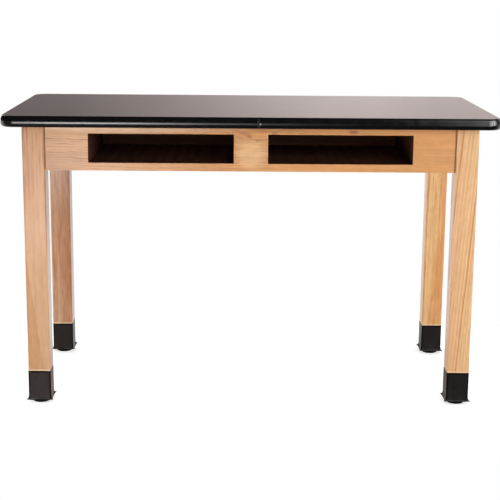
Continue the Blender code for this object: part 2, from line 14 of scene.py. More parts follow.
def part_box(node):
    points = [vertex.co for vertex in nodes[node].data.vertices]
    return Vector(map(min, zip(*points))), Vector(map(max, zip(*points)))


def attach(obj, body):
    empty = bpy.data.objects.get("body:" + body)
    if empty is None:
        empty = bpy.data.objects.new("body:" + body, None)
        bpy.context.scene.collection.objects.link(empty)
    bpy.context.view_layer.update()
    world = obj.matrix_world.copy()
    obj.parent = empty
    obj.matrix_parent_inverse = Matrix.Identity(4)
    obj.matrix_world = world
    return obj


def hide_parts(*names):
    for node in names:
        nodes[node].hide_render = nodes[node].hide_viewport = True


CORNERS = (("front_left", -1, -1), ("front_right", 1, -1), ("rear_left", -1, 1), ("rear_right", 1, 1))
SIDES = (("left", -1), ("right", 1))

# Camera
CAMERA_PLACE = (-0.0391, -3.4687, 1.1093)
CAMERA_YAW = -0.0121
CAMERA_DIP = 0.2127
CAMERA_ROLL = 0.0085
FRAME_PIXELS = 500
FOCAL_PIXELS = 1275.2
SENSOR_MM = 36.0

# Openings of the front apron, whose inner edges are darkened
OPENING_INNER = 0.0435
OPENING_OUTER = 0.41195
OPENING_LOW = 0.6398
OPENING_HIGH = 0.7140
EASED_EDGE = 0.0004
DARK_EDGE_MARGIN = 0.0005
DARK_EDGE_REACH = 0.05

# Boots
BOOT_HEM_EDGE = 0.0126
BOOT_CORNER_START = 0.0235
BOOT_CORNER_END = 0.0275

# Levelling stems, with a 3/8 in thread of 16 turns to the inch
STEM_RADIUS = 0.00475
STEM_PITCH = 0.0015875
STEM_THREAD_DEPTH = 0.00085
STEM_HEAD_RADIUS = 0.0070
STEM_HEAD_THICKNESS = 0.0026
STEM_NECK_RADIUS = 0.0046
STEM_OVERLAP = 0.0004
COLLAR_BOTTOM = 0.0093
COLLAR_TOP = 0.0138
COLLAR_FLAT_HALF = 0.0071
COLLAR_CHAMFER = 0.0006

# Hanger bolts, with an 8 mm thread
BOLT_RADIUS = 0.0040
BOLT_PITCH = 0.00125
BOLT_THREAD_DEPTH = 0.00065
BOLT_IN_LEG = 0.034
BOLT_PILOT_CLEARANCE = 0.0010
BOLT_SHOULDER_INSET = 0.004

# Edge band: its section is a lip, a bulge and a tongue, and one of its two ends draws in where they meet
BAND_BULGE = 0.0080
BAND_LIP = 0.0012
BAND_CORNER_RADIUS = 0.0300
BAND_CORNER_STEPS = 28
BAND_NOSE_STEPS = 30
BAND_JOINT_X = 0.0180
BAND_JOINT_HALF_GAP = 0.0004
BAND_DRAWN_IN = 0.0018
BAND_DRAWN_LENGTH = 0.0075
BAND_DRAWN_STEPS = 10
TONGUE_HALF = 0.0012
TONGUE_DEPTH = 0.0090
CORE_BOTTOM_RISE = 0.0012
CORE_THICKNESS = 0.0259

# Screws
BRACE_SHEET = 0.0020
BRACE_TAB = 0.018
FIT_GAP = 0.0003
BRACE_SCREW_RISE = 0.018
SCREW_RADIUS = 0.0042
SCREW_DOME = 0.0022
RECESS_WIDTH = 0.0011
RECESS_LENGTH = 0.0048
RECESS_DEPTH = 0.0016
SCREW_MARGIN = 0.030
APRON_SCREW_MARGIN = 0.055
BACK_SCREW_INSET = 0.0048
BACK_SCREW_DROP = 0.020


# Node helpers


def add_node(kind, inputs=None, tree=None, **settings):
    """A node with its settings, and with each input set to a value or linked to a socket.

    It joins the tree of its sockets, so that only a node without any has to be given a tree.
    """
    inputs = inputs or {}
    sockets = [value for value in inputs.values() if isinstance(value, bpy.types.NodeSocket)]
    tree = tree or sockets[0].id_data
    made = tree.nodes.new(kind)
    for name, value in settings.items():
        setattr(made, name, value)
    for key, value in inputs.items():
        if isinstance(value, bpy.types.NodeSocket):
            tree.links.new(value, made.inputs[key])
        else:
            made.inputs[key].default_value = value
    return made


def result(kind, inputs=None, tree=None, **settings):
    """The first output of a new node."""
    return add_node(kind, inputs, tree, **settings).outputs[0]


def maths(operation, *values):
    return result("ShaderNodeMath", dict(enumerate(values)), operation=operation)


def plus(first, second):
    return maths("ADD", first, second)


def minus(first, second):
    return maths("SUBTRACT", first, second)


def times(first, second):
    return maths("MULTIPLY", first, second)


def larger(first, second):
    return maths("MAXIMUM", first, second)


def vector_maths(operation, *values):
    """The vector result, or the number for an operation that gives a number."""
    made = add_node("ShaderNodeVectorMath", dict(enumerate(values)), operation=operation)
    numbers = ("LENGTH", "DISTANCE", "DOT_PRODUCT")
    return made.outputs["Value" if operation in numbers else "Vector"]


def spread(value, low, high, to_low=0.0, to_high=1.0, step="SMOOTHSTEP"):
    """A step, smooth if not set otherwise, that turns low..high into to_low..to_high, flat outside."""
    inputs = {"Value": value, "From Min": low, "From Max": high, "To Min": to_low, "To Max": to_high}
    return result("ShaderNodeMapRange", inputs, interpolation_type=step)


def mix(factor, first, second, blend="MIX"):
    inputs = {0: factor, 6: first, 7: second}
    return add_node("ShaderNodeMix", inputs, data_type="RGBA", blend_type=blend).outputs[2]


def tinted(colour, tint):
    return mix(1.0, colour, tint, "MULTIPLY")


def noise(vector, scale, detail=2.0, coloured=False):
    inputs = {"Vector": vector, "Scale": scale, "Detail": detail}
    return add_node("ShaderNodeTexNoise", inputs).outputs[1 if coloured else 0]


def cells(vector, scale):
    """A random tone for each cell, and the distance from its middle."""
    made = add_node("ShaderNodeTexVoronoi", {"Vector": vector, "Scale": scale}).outputs
    return result("ShaderNodeSeparateColor", {0: made["Color"]}), made["Distance"]


def place(tree):
    """Where a point is on its piece, which is also where it is on the table."""
    return add_node("ShaderNodeTexCoord", tree=tree).outputs["Object"]


def axes(vector):
    """The sockets of a vector's three numbers."""
    return add_node("ShaderNodeSeparateXYZ", {0: vector}).outputs


def stretched(vector, *factors):
    return vector_maths("MULTIPLY", vector, factors)


def past(position, fade, before=0.0, after=1.0):
    """One value before a fade and another past it.

    A fade is a direction and the distances along it where it starts and ends.
    """
    direction, start, end = fade
    return spread(vector_maths("DOT_PRODUCT", position, direction), start, end, before, after)


def shade(red, green, blue):
    """A colour as a screen shows it, from 0 to 255, turned into the linear values that a shader takes."""
    linear = []
    for level in (red, green, blue):
        share = level / 255
        linear.append(share / 12.92 if share <= 0.04045 else ((share + 0.055) / 1.055) ** 2.4)
    return (*linear, 1.0)


def new_material(name, **constants):
    """A material with those constants on its shader, and the socket for the place on its piece."""
    material = bpy.data.materials.new(name)
    material.use_nodes = True
    shader = material.node_tree.nodes["Principled BSDF"].inputs
    for key, value in constants.items():
        shader[key.replace("_", " ")].default_value = value
    return material, place(material.node_tree)


def finished(material, colour, rough, height, strength, distance):
    """The material with its colour, its roughness and the relief of a height linked to its shader."""
    relief = result("ShaderNodeBump", {"Height": height, "Strength": strength, "Distance": distance})
    shader = material.node_tree.nodes["Principled BSDF"].inputs
    for key, socket in (("Base Color", colour), ("Roughness", rough), ("Normal", relief)):
        material.node_tree.links.new(socket, shader[key])
    return material


def dress(node, material):
    """Gives a piece one material, in place of what it has."""
    node.data.materials.clear()
    node.data.materials.append(material)


def add_object(name, data):
    made = bpy.data.objects.new(name, data)
    bpy.context.scene.collection.objects.link(made)
    return made


def middle_of(name):
    """The middle of a node's box."""
    low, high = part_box(name)
    return (low + high) / 2


def corner_of(name, sign):
    """The high corner of a node's box for 1, and the low one for -1."""
    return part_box(name)[sign > 0]


# Wood

TURN_ALONG = {"X": (0.0, pi / 2, 0.0), "Y": (-pi / 2, 0.0, 0.0), "Z": (0.0, 0.0, 0.0)}
KNOT_FLATNESS = 0.38
KNOT_DARKNESS = 0.65
LINE_DARKNESS = 0.85
PALENESS = 0.75
KNOT_TONE = shade(152, 86, 50)
PORE_TONE = shade(160, 106, 68)
# The dark joint tone is finish built up in the joints, and painted shade of the legs on the apron.
JOINT_FINISH_AND_SHADE_TONE = shade(98, 46, 24)
DARK_EDGE_TONE = shade(58, 30, 18)


def trunk_space(position, along, heart, lean):
    """The place in the trunk that the board was sawn from, with the trunk's heart on the Z axis."""
    turn = [base + radians(angle) for base, angle in zip(TURN_ALONG[along], (*lean, 0))]
    inputs = {"Vector": position, "Location": heart, "Rotation": turn}
    return result("ShaderNodeMapping", inputs, vector_type="TEXTURE")


def wander(vector, scale, reach):
    """A push sideways that changes with the place, by up to half of reach."""
    push = vector_maths("SUBTRACT", noise(vector, scale, coloured=True), (0.5,) * 3)
    return stretched(push, reach, reach, 0)


def from_heart(grain, sway, ripple):
    """The distance from the trunk's heart, which sways slowly and ripples finely along the grain."""
    swayed = vector_maths("ADD", grain, wander(stretched(grain, 1, 1, 0.16), 11, sway))
    swayed = vector_maths("ADD", swayed, wander(stretched(grain, 1, 1, 0.36), 45, ripple))
    return vector_maths("LENGTH", stretched(swayed, 1, 1, 0))


def figured(grain, across, along, detail=2.0):
    """A noise drawn out along the grain, with that many turns to the metre across it and along it."""
    return noise(stretched(grain, across, across, along), 1, detail)


def ring_lines(grain, growth, contrast, unbroken):
    """How dark the late wood of the rings is, and how far each place is through its ring."""
    year = maths("FLOOR", growth)
    season = maths("FRACT", growth)
    vigour = result("ShaderNodeTexWhiteNoise", {"W": year}, noise_dimensions="1D")
    late = times(spread(season, 0.10, 0.66), spread(season, 0.80, 1.0, 1.0, 0.0))
    line = times(late, spread(vigour, 0.0, 1.0, contrast * 0.25, contrast))
    broken = figured(grain, 170, 22)
    return times(line, spread(broken, 0.36, 0.60, unbroken, 1.0)), season


def faded_body(position, grain, fade, tones):
    """The wood between its rings: the first tone before the fade, the second past it, in soft patches."""
    patch = noise(stretched(grain, 1, 1, 0.12), 26)
    faded = plus(past(position, fade), spread(patch, 0.3, 0.7, -0.35, 0.35))
    return mix(result("ShaderNodeClamp", {0: faded}), tones[0], tones[1])


def grained(body, pattern, dark, light):
    """The colour with a pattern over it, from a dark tint at the pattern's 0 to a light one at its 1."""
    return tinted(body, mix(pattern, (*dark, 1), (*light, 1)))


def lines_at(position, lines):
    """How strongly a line's tone shows, and 0 away from the lines. At the front apron's ends it is a dark
    joint, finish built up in part and painted shade of the legs in part; above the boots it is a painted
    highlight.

    Each line is an axis, a place on it, and how far the tone reaches below and above that place.
    """
    numbers = axes(position)
    total = 0.0
    for axis, middle, below, above in lines:
        rising = spread(numbers[axis], middle - below, middle)
        falling = spread(numbers[axis], middle, middle + above, LINE_DARKNESS, 0.0)
        total = larger(total, times(rising, falling))
    return total


def from_spot(position, spot, flatness):
    """How far each place is from a spot on the board's face, with the way along X flattened."""
    flat = stretched(position, flatness, 0.0, 1.0)
    return vector_maths("DISTANCE", flat, (spot[0] * flatness, 0.0, spot[1]))


def knots_at(position, knots):
    """How far the rings swing out round each knot, and how dark the knots are.

    Each knot is its spot, its radius, how far its swing reaches and how far it pushes the rings.
    """
    swing = 0.0
    dark = 0.0
    for spot, radius, reach, push in knots:
        away = from_spot(position, spot, KNOT_FLATNESS)
        swing = plus(swing, spread(away, 0.0, reach, push, 0.0))
        dark = larger(dark, spread(away, radius * 0.5, radius * 1.1, KNOT_DARKNESS, 0.0))
    return swing, dark


def inside_boxes(position, boxes):
    """1 inside any of the boxes, which are given by two corners each, and 0 outside them."""
    total = 0.0
    for low, high in boxes:
        from_low = vector_maths("SUBTRACT", position, low)
        from_high = vector_maths("SUBTRACT", high, position)
        x, y, z = axes(vector_maths("MINIMUM", from_low, from_high))
        least = maths("MINIMUM", maths("MINIMUM", x, y), z)
        total = larger(total, maths("GREATER_THAN", least, 0.0))
    return total


def make_wood(name, along, heart, rings, tones, fade, lean=(0, 0), sway=0.010, wave=0.22, contrast=0.6,
              flecks=0.22, unbroken=0.3, knots=(), lines=(), line_tone=JOINT_FINISH_AND_SHADE_TONE, calm=None, darkening_and_painted_shade=None,
              pale=(), darkened_boxes=()):
    """Lacquered ash, sawn from a trunk whose heart runs past the point heart and leans by lean, in degrees.

    Rings are about that far apart, sway by that much, and ripple by the share wave of it. Tones are the
    wood before the fade, past it, and on the dark lines between rings. Unbroken is how much of a line is
    left where it is weakest. Calm is a fade and the share of the lines that is left past it. The darkening
    is a fade and the tint past it: painted shade at the top of the front left leg, and a darker lower left
    on the front apron. Pale lists spots, each with its flatness, where its paler tone starts to fall off,
    where it ends, and that tone; the strip along the front apron's upper left is painted light.
    """
    material, position = new_material(
        name, Coat_Weight=0.55, Coat_Roughness=0.14, Coat_IOR=1.5, IOR=1.45, Specular_IOR_Level=0.4)
    grain = trunk_space(position, along, heart, lean)
    across = from_heart(grain, sway, sway * wave)
    swing, knot = knots_at(position, knots)
    across = plus(across, swing)
    growth = maths("DIVIDE", across, rings)
    line, season = ring_lines(grain, growth, contrast, unbroken)
    fleck = spread(figured(grain, 330, 13, 3), 0.52, 0.70, 0.0, flecks)
    if calm:
        calmed = past(position, calm[0], 1.0, calm[1])
        line = times(line, calmed)
        fleck = times(fleck, calmed)

    body = faded_body(position, grain, fade, tones)
    # Paler wood at some spots; the strip along the front apron's upper left is painted light.
    for spot, flatness, start, end, tone in pale:
        paleness = spread(from_spot(position, spot, flatness), start, end, PALENESS, 0.0)
        body = mix(paleness, body, tone)
        line = times(line, minus(1.0, paleness))
    body = mix(line, body, tones[2])
    body = mix(fleck, body, tones[2])
    # Painted shade on the front left leg's top, and a darker tone at the front apron's lower left.
    if darkening_and_painted_shade:
        body = mix(past(position, darkening_and_painted_shade[0]), body, tinted(body, (*darkening_and_painted_shade[1], 1)))

    streak = figured(grain, 135, 1.8)
    curl = figured(grain, 70, 42, 3)
    fibre = figured(grain, 420, 9, 3)
    body = grained(body, streak, (0.84, 0.81, 0.78), (1.14, 1.15, 1.16))
    body = grained(body, curl, (0.90, 0.89, 0.88), (1.09, 1.10, 1.11))
    body = grained(body, fibre, (0.86, 0.84, 0.82), (1.12, 1.13, 1.14))
    pores = spread(figured(grain, 1500, 45, 1), 0.60, 0.68)
    pores = times(pores, spread(season, 0.0, 0.5, 0.5, 0.15))
    body = mix(pores, body, PORE_TONE)
    body = mix(knot, body, KNOT_TONE)
    # Dark joint lines that are partly painted shade; on the legs, a painted highlight above the boots.
    body = mix(lines_at(position, lines), body, line_tone)
    # The inner edges of the apron's openings are darkened.
    body = mix(inside_boxes(position, darkened_boxes), body, DARK_EDGE_TONE)

    rough = plus(times(pores, 0.25), spread(fibre, 0.3, 0.7, 0.44, 0.36))
    relief = minus(times(fibre, 0.5), pores)
    return finished(material, body, rough, relief, 0.25, 0.00025)


def leg_boards():
    """How the board of each leg is sawn and toned, so that no two have the same figure."""
    return {
        "front_left": {
            "tones": (shade(196, 147, 102), shade(207, 164, 126), shade(170, 106, 66)),
            "heart": (-0.60, -0.20, 0), "lean": (0.4, -0.8), "rings": 0.0074, "contrast": 0.80,
            "flecks": 0.70, "fade": ((1, 0, 0.127), -0.5280, -0.5235),
            "calm": (((0, 0, -1), -0.62, -0.36), 0.12),
            # Painted shade: the leg darkens towards its top, under the table top.
            "darkening_and_painted_shade": (((0, 0, 1), 0.36, 0.66), (0.77, 0.62, 0.38)),
        },
        "front_right": {
            "tones": (shade(232, 185, 138), shade(236, 194, 142), shade(200, 132, 78)),
            "heart": (0.34, -0.20, 0), "lean": (0, 4.2), "rings": 0.0080, "contrast": 1.0,
            "flecks": 0.25, "unbroken": 0.8, "fade": ((1, 0, 0), 0.52, 0.58),
        },
        "rear_left": {
            "tones": (shade(212, 168, 130), shade(203, 149, 108), shade(156, 100, 66)),
            "heart": (-0.52, 0.02, 0), "lean": (0, -0.6), "rings": 0.0052, "contrast": 0.70,
            "flecks": 0.60, "fade": ((1, 0, 0.02), -0.575, -0.525),
        },
        "rear_right": {
            "tones": (shade(252, 210, 148), shade(238, 172, 108), shade(208, 124, 66)),
            "heart": (0.30, 0.15, 0), "lean": (0, 0.8), "rings": 0.0115, "contrast": 0.80,
            "flecks": 0.50, "unbroken": 0.6, "fade": ((1, 0, -0.05), 0.525, 0.555),
        },
    }


def make_leg_woods(nodes):
    """One board of ash for each leg, with a pale line of painted highlight just above each boot."""
    boot_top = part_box("boot_front_left")[1].z
    # Painted highlight: a pale line on each leg just above its boot.
    rim = (("Z", boot_top + 0.0018, 0.0016, 0.0040),)
    for corner, board in leg_boards().items():
        wood = make_wood("ash_leg_" + corner, "Z", lines=rim, line_tone=shade(244, 212, 170), **board)
        dress(nodes["leg_" + corner], wood)


def opening_boxes():
    """The two openings of the front apron, a hair larger than they are and set back from its face."""
    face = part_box("front_apron")[0].y + EASED_EDGE
    boxes = []
    for side, sx in SIDES:
        left, right = sorted((sx * OPENING_INNER, sx * OPENING_OUTER))
        low = (left - DARK_EDGE_MARGIN, face, OPENING_LOW - DARK_EDGE_MARGIN)
        high = (right + DARK_EDGE_MARGIN, face + DARK_EDGE_REACH, OPENING_HIGH + DARK_EDGE_MARGIN)
        boxes.append((low, high))
    return boxes


def make_front_apron_wood(tones):
    """Wavy ash, liveliest at its left end, with two knots, a pale middle, and painted light at its upper
    left.
    """
    low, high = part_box("front_apron")
    return make_wood(
        "ash_front_apron", "X", (0, -0.20, 0.46), 0.0064, tones, ((1, 0, 0), -0.36, 0.16), lean=(0, 0.7),
        sway=0.022, wave=0.62, contrast=0.95,
        calm=(((1, 0, -0.3), -0.28, 0.10), 0.07),
        knots=(((0.260, 0.7215), 0.0054, 0.032, 0.004), ((0.0166, 0.6975), 0.0018, 0.046, 0.026)),
        # Pale spots: paler wood in the middle, and along the upper left a strip of painted light over the
        # shade under the band.
        pale=(((0.000, 0.664), 1.0, 0.018, 0.052, shade(232, 190, 142)),
              ((-0.340, high.z), 0.05, 0.009, 0.022, shade(236, 196, 158))),
        # Darker towards the lower left end.
        darkening_and_painted_shade=(((-1, 0, -1.2), -0.400, -0.240), (0.79, 0.73, 0.67)),
        # Dark joint lines at both ends, finish built up in part and painted shade of the legs in part,
        # reaching furthest in from the right end.
        lines=(("X", low.x, 0.001, 0.0018), ("X", high.x, 0.0065, 0.001)), darkened_boxes=opening_boxes())


def make_apron_woods(nodes):
    tones = (shade(196, 146, 96), shade(221, 159, 100), shade(150, 88, 58))
    dress(nodes["front_apron"], make_front_apron_wood(tones))
    rear = make_wood(
        "ash_rear_apron", "X", (0, 0.30, 0.52), 0.0080, tones, ((-1, 0, 0), -0.42, 0.45), lean=(0, -0.9),
        sway=0.016, contrast=0.5)
    dress(nodes["rear_apron"], rear)
    for side, sx in SIDES:
        wood = make_wood(
            "ash_" + side + "_apron", "Y", (sx * 0.60, 0, 0.50), 0.0068, tones, ((0, sx, 0), -0.25, 0.25),
            lean=(0.8 * sx, 0), sway=0.018, contrast=0.5)
        dress(nodes[side + "_apron"], wood)


def make_cleat_wood(nodes):
    tones = (shade(222, 180, 136), shade(208, 160, 118), shade(170, 118, 80))
    wood = make_wood("ash_cleats", "Y", (0.1, 0, 0.60), 0.0060, tones, ((1, 0, 0), -0.5, 0.5))
    for name, node in nodes.items():
        if "cleat" in name:
            dress(node, wood)


# Laminate, band, board and plastics


def at_band_joint(position, full, none):
    """1 at the front within full of the band's joint, falling to 0 at none from it."""
    x, y, _ = axes(position)
    away = maths("ABSOLUTE", minus(x, BAND_JOINT_X))
    near = spread(away, full, none, 1.0, 0.0)
    return times(near, maths("LESS_THAN", y, 0.0))


def make_laminate():
    """Black laminate with a fine satin texture that a light at a low angle greys."""
    material, position = new_material("black_laminate", IOR=1.5, Coat_Weight=0.0)
    cloud = noise(position, 5, 3)
    speck = noise(position, 1700)
    scuff = noise(position, 9, 4)
    colour = mix(cloud, shade(38, 31, 28), shade(42, 34, 30))
    colour = mix(spread(speck, 0.60, 0.75, 0.0, 0.6), colour, shade(74, 70, 68))
    rough = plus(spread(scuff, 0.3, 0.7, 0.222, 0.228), spread(speck, 0.3, 0.7, -0.015, 0.015))
    return finished(material, colour, rough, speck, 0.06, 0.00008)


def make_band():
    """Moulded black band, glossy and faintly wavy, and dull at its joint."""
    material, position = new_material("black_edge_band", IOR=1.5, Specular_IOR_Level=0.9)
    wave = noise(stretched(position, 1, 1, 0.4), 16)
    fine = noise(position, 900)
    dust = noise(position, 60, 5)
    joint = times(at_band_joint(position, 0.0014, 0.0034), 0.85)
    colour = mix(dust, shade(8, 8, 8), shade(12, 12, 12))
    colour = mix(joint, colour, (0.001, 0.001, 0.001, 1))
    rough = plus(spread(dust, 0.35, 0.65, 0.13, 0.19), spread(fine, 0.3, 0.7, -0.02, 0.02))
    rough = plus(rough, times(joint, 0.5))
    return finished(material, colour, rough, wave, 0.22, 0.0022)


def make_particle_board():
    """Pressed chips, with dark glue where the ends of the band meet."""
    material, position = new_material("particle_board", IOR=1.4, Specular_IOR_Level=0.25)
    tone, height = cells(stretched(position, 1, 1, 3), 260)
    splinters = spread(noise(position, 900, 3), 0.55, 0.7, 0.0, 0.5)
    colour = mix(tone, shade(150, 112, 72), shade(206, 172, 122))
    colour = mix(splinters, colour, shade(104, 70, 42))
    colour = mix(at_band_joint(position, 0.002, 0.005), colour, shade(16, 13, 12))
    rough = spread(tone, 0.0, 1.0, 0.78, 0.92)
    return finished(material, colour, rough, height, 0.5, 0.0004)


def make_backing_sheet():
    """Brown backing sheet, faintly streaked by the sander."""
    material, position = new_material("backing_sheet", IOR=1.45, Specular_IOR_Level=0.35)
    sanded = noise(stretched(position, 2, 160, 1), 1, 4)
    mottle = noise(position, 7, 3)
    colour = mix(mottle, shade(96, 72, 60), shade(118, 92, 76))
    colour = mix(spread(sanded, 0.45, 0.7, 0.0, 0.4), colour, shade(124, 104, 84))
    rough = spread(sanded, 0.3, 0.7, 0.55, 0.68)
    return finished(material, colour, rough, sanded, 0.12, 0.0002)


def make_panel(name, depth, *tones):
    """Hardboard with a dark stain, with its tones at the compartment's mouth, deep inside and in patches."""
    material, position = new_material(name, IOR=1.45, Specular_IOR_Level=0.3)
    mouth, inner, patch = (shade(*tone) for tone in tones)
    mouth_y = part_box("compartment_left_floor")[0].y
    streak = noise(stretched(position, 60, 3, 60), 1, 4)
    cloud = noise(position, 12)
    # Painted light and shade: the tone changes from the mouth, where light falls in, to deep inside.
    colour = mix(spread(axes(position)["Y"], mouth_y - 0.01, mouth_y + depth), mouth, inner)
    colour = mix(spread(cloud, 0.3, 0.7, 0.0, 0.5), colour, patch)
    colour = mix(spread(streak, 0.5, 0.75, 0.0, 0.2), colour, mix(0.4, colour, mouth))
    rough = spread(streak, 0.3, 0.7, 0.42, 0.56)
    return finished(material, colour, rough, streak, 0.15, 0.0003)


def painted_boot_shade(x, y, z):
    """1 at the corners, rim and hem of a boot, where shade is painted, and 0 on its flat faces."""
    leg = middle_of("leg_front_right")
    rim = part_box("boot_front_left")[1].z
    off_x = maths("ABSOLUTE", minus(maths("ABSOLUTE", x), abs(leg.x)))
    off_y = maths("ABSOLUTE", minus(maths("ABSOLUTE", y), abs(leg.y)))
    corner = spread(maths("MINIMUM", off_x, off_y), BOOT_CORNER_START, BOOT_CORNER_END)
    top = spread(z, rim - 0.006, rim - 0.001)
    hem = spread(z, BOOT_HEM_EDGE, BOOT_HEM_EDGE + 0.0044, 1.0, 0.0)
    return larger(larger(corner, top), hem)


def make_boot_plastic():
    """Black moulded plastic with some dust, with painted shade at its corners, rim and hem, and painted
    highlights.
    """
    material, position = new_material("boot_plastic", IOR=1.5, Specular_IOR_Level=0.13)
    x, y, z = axes(position)
    grain = noise(position, 1300)
    smear = noise(stretched(position, 1, 1, 0.4), 38, 4)
    # Painted light: the front left boots are painted greyer where the light falls on them.
    painted_light_front_left = times(spread(x, -0.5, 0.5, 0.30, 0.0), spread(y, -0.1, 0.1, 1.0, 0.3))
    dust = times(spread(z, 0.010, 0.045, 1.0, 0.0), spread(smear, 0.45, 0.75, 0.0, 0.30))
    # Painted highlight: a light line along the hem's edge.
    below = spread(z, BOOT_HEM_EDGE - 0.0014, BOOT_HEM_EDGE - 0.0002)
    above = spread(z, BOOT_HEM_EDGE, BOOT_HEM_EDGE + 0.0016, 1.0, 0.0)
    painted_hem_highlight = times(times(below, above), spread(smear, 0.35, 0.6, 0.15, 0.55))
    colour = mix(smear, shade(28, 26, 26), shade(35, 33, 32))
    colour = mix(painted_light_front_left, colour, shade(86, 78, 74))
    colour = mix(dust, colour, shade(60, 56, 52))
    # Painted shade at the corners, rim and hem.
    colour = mix(painted_boot_shade(x, y, z), colour, shade(9, 6, 4))
    colour = mix(painted_hem_highlight, colour, shade(112, 108, 106))
    rough = plus(spread(smear, 0.3, 0.7, 0.26, 0.36), times(dust, 0.3))
    return finished(material, colour, rough, grain, 0.10, 0.0001)


def make_pad_nylon():
    """Black nylon with a fine grain, and a scuffed sole."""
    material, position = new_material("pad_nylon", IOR=1.5, Specular_IOR_Level=0.12)
    grain = noise(position, 1100)
    scuff = noise(position, 160, 4)
    sole = spread(axes(position)["Z"], 0.0, 0.003, 1.0, 0.0)
    worn = times(sole, spread(scuff, 0.4, 0.65, 0.0, 0.6))
    colour = mix(worn, shade(10, 10, 11), shade(70, 68, 65))
    rough = plus(spread(scuff, 0.3, 0.7, 0.30, 0.42), times(worn, 0.3))
    return finished(material, colour, rough, grain, 0.12, 0.0001)


def make_zinc():
    """Zinc plating: bright, faintly yellow and spangled, with rolling lines in the sheet below."""
    material, position = new_material("zinc_plated_steel", Metallic=1.0)
    spangle, _ = cells(position, 420)
    rolled = noise(stretched(position, 30, 30, 900), 1, 3)
    stain = noise(position, 55, 4)
    colour = mix(spangle, shade(198, 196, 190), shade(216, 214, 206))
    colour = mix(spread(stain, 0.55, 0.8, 0.0, 0.5), colour, shade(160, 150, 132))
    rough = plus(spread(rolled, 0.3, 0.7, 0.26, 0.40), spread(stain, 0.5, 0.8, 0.0, 0.12))
    return finished(material, colour, rough, rolled, 0.08, 0.00008)


def make_finishes():
    """Every finish but the woods. The compartments hold painted light and shade so that they look evenly
    dark inside.
    """
    return {
        "laminate": make_laminate(),
        "band": make_band(),
        "board": make_particle_board(),
        "backer": make_backing_sheet(),
        # Painted light and shade: lit and shaded copies of one hardboard. The sides are lit at the mouth and
        # dark inside, the back is lighter, and the floor is darker at the mouth.
        "side": make_panel("hardboard_sides", 0.05, (132, 78, 50), (88, 52, 40), (74, 44, 34)),
        "back": make_panel("hardboard_back", 0.11, (126, 78, 52), (158, 102, 72), (142, 92, 66)),
        "floor": make_panel("hardboard_floor", 0.11, (68, 38, 29), (92, 56, 43), (74, 44, 34)),
        "boot": make_boot_plastic(),
        "pad": make_pad_nylon(),
        "zinc": make_zinc(),
    }


def dress_nodes(nodes, finishes):
    """Gives each piece but the wooden ones its finish, found by how the piece's name starts."""
    kinds = {
        "top_core": "board", "top_laminate": "laminate", "top_backer": "backer", "edge_band": "band",
        "boot_": "boot", "glide_pad_": "pad", "glide_stem_": "zinc", "glide_insert_": "zinc",
        "brace_": "zinc", "hanger_bolt_": "zinc",
    }
    for side, _ in SIDES:
        for panel in ("floor", "side", "back"):
            kinds["compartment_" + side + "_" + panel] = panel
    for name, node in nodes.items():
        for start, finish in kinds.items():
            if name.startswith(start):
                dress(node, finishes[finish])


# Geometry node trees


def new_tree(name, sizes):
    """An empty geometry tree that takes a mesh, a material and the named sizes, and gives a mesh."""
    tree = bpy.data.node_groups.new(name, "GeometryNodeTree")
    tree.interface.new_socket("Geometry", in_out="INPUT", socket_type="NodeSocketGeometry")
    for label, value in sizes.items():
        kind = "NodeSocketInt" if isinstance(value, int) else "NodeSocketFloat"
        tree.interface.new_socket(label, in_out="INPUT", socket_type=kind).default_value = value
    tree.interface.new_socket("Material", in_out="INPUT", socket_type="NodeSocketMaterial")
    tree.interface.new_socket("Geometry", in_out="OUTPUT", socket_type="NodeSocketGeometry")
    return tree, add_node("NodeGroupInput", tree=tree).outputs


def end_tree(given, mesh):
    """Ends a tree in Realize Instances and Set Material."""
    whole = result("GeometryNodeRealizeInstances", {0: mesh})
    coated = result("GeometryNodeSetMaterial", {"Geometry": whole, "Material": given["Material"]})
    add_node("NodeGroupOutput", {0: coated})


def point_axes(tree):
    """The sockets of the three numbers of each point's place."""
    return axes(result("GeometryNodeInputPosition", tree=tree))


def combined(x=0.0, y=0.0, z=0.0):
    return result("ShaderNodeCombineXYZ", {0: x, 1: y, 2: z})


def thread_cut(given, x, y, z):
    """How deep the thread cuts into its rod, all the way at both ends, where the rod is chamfered."""
    turn = maths("DIVIDE", maths("ARCTAN2", y, x), 2 * pi)
    phase = maths("FRACT", minus(maths("DIVIDE", z, given["Pitch"]), turn))
    ridge = maths("ABSOLUTE", minus(times(phase, 2.0), 1.0))
    flank = spread(ridge, 0.12, 0.88)
    half = times(given["Length"], 0.5)
    to_end = minus(half, maths("ABSOLUTE", z))
    chamfer = spread(to_end, 0.0, times(given["Pitch"], 1.2), 1.0, 0.0)
    return times(given["Depth"], larger(flank, chamfer))


def make_thread_tree():
    """A rod with a screw thread cut into it, joined to the mesh that it is given."""
    sizes = {
        "Length": 0.05, "Bottom": 0.0, "Radius": STEM_RADIUS, "Pitch": STEM_PITCH,
        "Depth": STEM_THREAD_DEPTH, "Sides": 28, "Rows": 180,
    }
    tree, given = new_tree("screw_thread", sizes)
    inputs = {
        "Vertices": given["Sides"], "Side Segments": given["Rows"], "Radius": given["Radius"],
        "Depth": given["Length"],
    }
    rod = result("GeometryNodeMeshCylinder", inputs)
    x, y, z = point_axes(tree)
    cut = thread_cut(given, x, y, z)
    share = minus(1.0, maths("DIVIDE", cut, given["Radius"]))
    half = times(given["Length"], 0.5)
    rise = plus(plus(z, half), given["Bottom"])
    threaded = combined(times(x, share), times(y, share), rise)
    rod = result("GeometryNodeSetPosition", {"Geometry": rod, "Position": threaded})
    joined = add_node("GeometryNodeJoinGeometry", {0: rod})
    tree.links.new(given["Geometry"], joined.inputs[0])
    end_tree(given, joined.outputs[0])
    return tree


